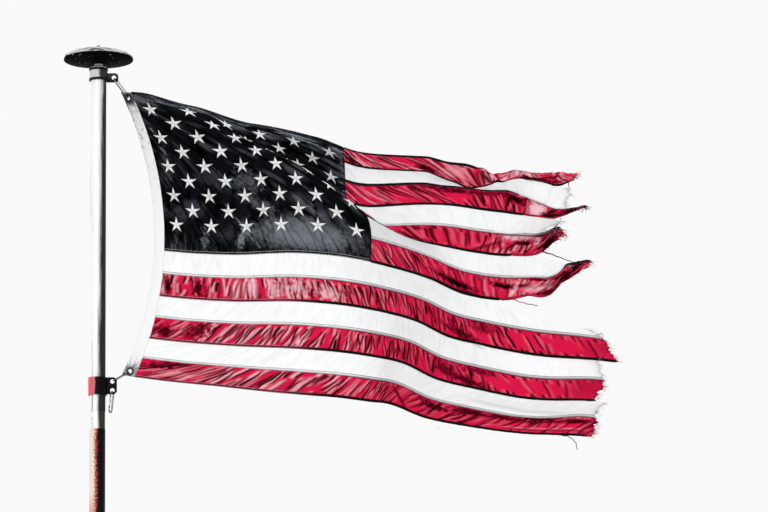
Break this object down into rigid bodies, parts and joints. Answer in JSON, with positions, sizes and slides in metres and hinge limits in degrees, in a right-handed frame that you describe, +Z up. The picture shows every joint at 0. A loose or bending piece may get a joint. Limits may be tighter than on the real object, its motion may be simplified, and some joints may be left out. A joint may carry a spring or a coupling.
{
  "type": "tattered flag and flagpole top",
  "caption": "Wind-torn striped flag with a starred canton, clipped by snap links to the top length of a capped flagpole, its fly end ripped into streamers.",
  "frame": {"origin": "centre of the pole's cut foot face", "axes": "+Z up the pole, +X from the pole towards the torn fly end, -Y towards the side that shows the long fold"},
  "size_m": [1.567, 0.425, 1.4115],
  "materials": {
    "canton": "woven nylon with a dull sheen",
    "stripe_01": "worn woven nylon",
    "stripe_02": "worn woven nylon, greyed",
    "stripe_03": "worn woven nylon",
    "stripe_04": "worn woven nylon, greyed",
    "stripe_05": "worn woven nylon",
    "stripe_06": "worn woven nylon, greyed",
    "stripe_07": "worn woven nylon",
    "stripe_08": "worn woven nylon, greyed",
    "stripe_09": "worn woven nylon",
    "stripe_10": "worn woven nylon, greyed",
    "stripe_11": "worn woven nylon",
    "stripe_12": "worn woven nylon, greyed",
    "stripe_13": "worn woven nylon",
    "heading": "coarse canvas",
    "grommet_top": "tarnished",
    "grommet_bottom": "tarnished",
    "pole_upper": "weathered silver",
    "pole_coupling": "weathered",
    "pole_lower": "worn cream paint over rust",
    "cap": "matt",
    "cap_hub": "satin",
    "cap_stud": "satin",
    "ring_top": "worn black",
    "bracket_low": "worn red",
    "link_top": "dulled",
    "link_bottom": "dulled",
    "link_spare": "dulled"
  },
  "bodies": {
    "root": {"canton": "canton", "stripe_01": "stripe_01", "stripe_02": "stripe_02", "stripe_03": "stripe_03", "stripe_04": "stripe_04", "stripe_05": "stripe_05", "stripe_06": "stripe_06", "stripe_07": "stripe_07", "stripe_08": "stripe_08", "stripe_09": "stripe_09", "stripe_10": "stripe_10", "stripe_11": "stripe_11", "stripe_12": "stripe_12", "stripe_13": "stripe_13", "heading": "heading", "grommet_top": "grommet_top", "grommet_bottom": "grommet_bottom", "pole_upper": "pole_upper", "pole_coupling": "pole_coupling", "pole_lower": "pole_lower", "cap": "cap", "cap_hub": "cap_hub", "cap_stud": "cap_stud", "ring_top": "ring_top", "bracket_low": "bracket_low", "link_top": "link_top", "link_bottom": "link_bottom", "link_spare": "link_spare"}
  },
  "joints": []
}
